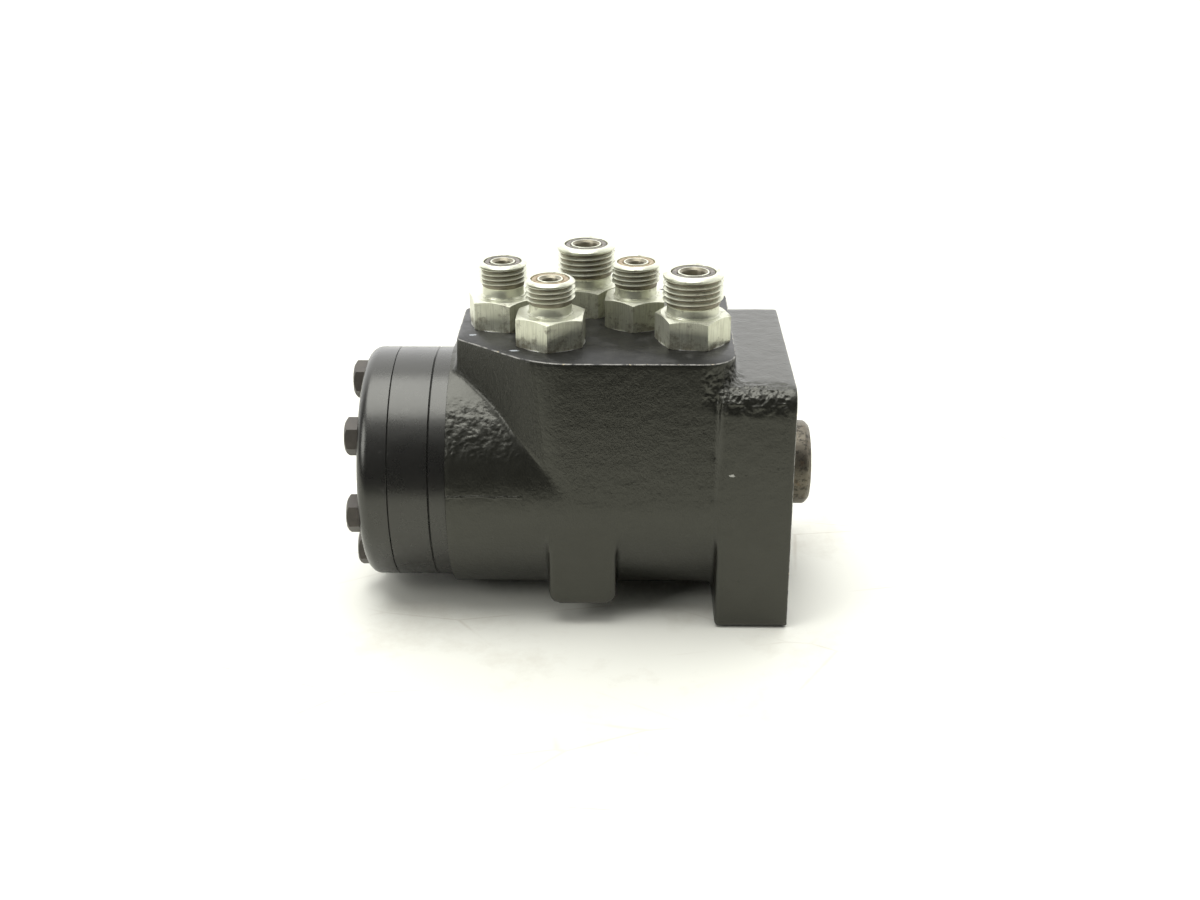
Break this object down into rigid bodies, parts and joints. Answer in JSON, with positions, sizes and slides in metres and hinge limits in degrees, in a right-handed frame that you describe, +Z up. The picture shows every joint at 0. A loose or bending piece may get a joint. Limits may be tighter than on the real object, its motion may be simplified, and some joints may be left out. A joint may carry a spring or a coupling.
{
  "type": "orbital steering unit",
  "caption": "Hydrostatic steering unit: cast valve housing with square flange, splined input, gerotor gear set behind and face-seal hose adapters on top.",
  "frame": {"origin": "centre of the bolt pattern on the mounting face, on the shaft axis", "axes": "+X out of the mounting face along the shaft, towards the steering column; +Z up through the hose ports"},
  "size_m": [0.1377, 0.075, 0.1024],
  "materials": {
    "cast_black": "satin black paint over rough cast iron",
    "machined_black": "satin black paint over turned steel",
    "black_bolt": "dark paint over a steel screw",
    "zinc_plate": "dull zinc plate with a faint yellow-green tint",
    "oiled_steel": "ground steel with oil film",
    "bright_steel": "ground steel",
    "seal_rubber": "matt black nitrile"
  },
  "bodies": {
    "housing": {"housing": "cast_black", "distributor_plate": "machined_black", "gerotor_ring": "machined_black", "end_cover": "machined_black", "cover_bolts": "black_bolt", "housing_seal_ring": "seal_rubber", "plate_seal_ring": "seal_rubber", "cover_seal_ring": "seal_rubber", "adapter_left_small": "zinc_plate", "adapter_front_small": "zinc_plate", "adapter_back_large": "zinc_plate", "adapter_middle_small": "zinc_plate", "adapter_front_large": "zinc_plate", "face_seal_rings": "seal_rubber", "port_seal_rings": "seal_rubber", "check_bush": "bright_steel", "shaft_seal": "seal_rubber", "dust_seal": "seal_rubber", "bearing_race_front": "bright_steel"},
    "sleeve": {"sleeve": "bright_steel", "cross_pin": "bright_steel", "centring_springs": "bright_steel", "retaining_ring": "bright_steel", "bearing_race_rear": "bright_steel"},
    "spool": {"spool": "oiled_steel"},
    "bearing_cage": {"bearing_cage": "bright_steel", "bearing_needles": "bright_steel"},
    "cardan_spacer": {"cardan_spacer": "bright_steel"},
    "rotor": {"rotor": "bright_steel"},
    "cardan_shaft": {"cardan_shaft": "bright_steel"},
    "check_ball": {"check_ball": "bright_steel"}
  },
  "joints": [
    {"name": "sleeve_turn", "type": "hinge", "parent": "housing", "child": "sleeve", "pos_m": [0, 0, 0], "axis": [1, 0, 0], "continuous": true},
    {"name": "spool_centring", "type": "hinge", "parent": "sleeve", "child": "spool", "pos_m": [0, 0, 0], "axis": [1, 0, 0], "range_deg": [-8, 8], "stiffness_Nm_per_rad": 2},
    {"name": "bearing_cage_turn", "type": "hinge", "parent": "housing", "child": "bearing_cage", "pos_m": [0, 0, 0], "axis": [1, 0, 0], "continuous": true},
    {"name": "rotor_orbit", "type": "hinge", "parent": "housing", "child": "cardan_spacer", "pos_m": [0, 0, 0], "axis": [1, 0, 0], "continuous": true},
    {"name": "rotor_spin", "type": "hinge", "parent": "cardan_spacer", "child": "rotor", "pos_m": [-0.11065, 0, 0.0018], "axis": [1, 0, 0], "continuous": true},
    {"name": "cardan_spin", "type": "hinge", "parent": "cardan_spacer", "child": "cardan_shaft", "pos_m": [-0.04, 0, 0], "axis": [0.9997, 0, -0.0255], "continuous": true},
    {"name": "check_ball_lift", "type": "slide", "parent": "housing", "child": "check_ball", "axis": [0, 0, 1], "range_m": [0, 0.0009]}
  ],
  "couplings": [
    {"joint": "bearing_cage_turn", "follows": "sleeve_turn", "ratio": 0.5},
    {"joint": "rotor_orbit", "follows": "sleeve_turn", "ratio": -6},
    {"joint": "rotor_spin", "follows": "sleeve_turn", "ratio": 7},
    {"joint": "cardan_spin", "follows": "sleeve_turn", "ratio": 7}
  ]
}
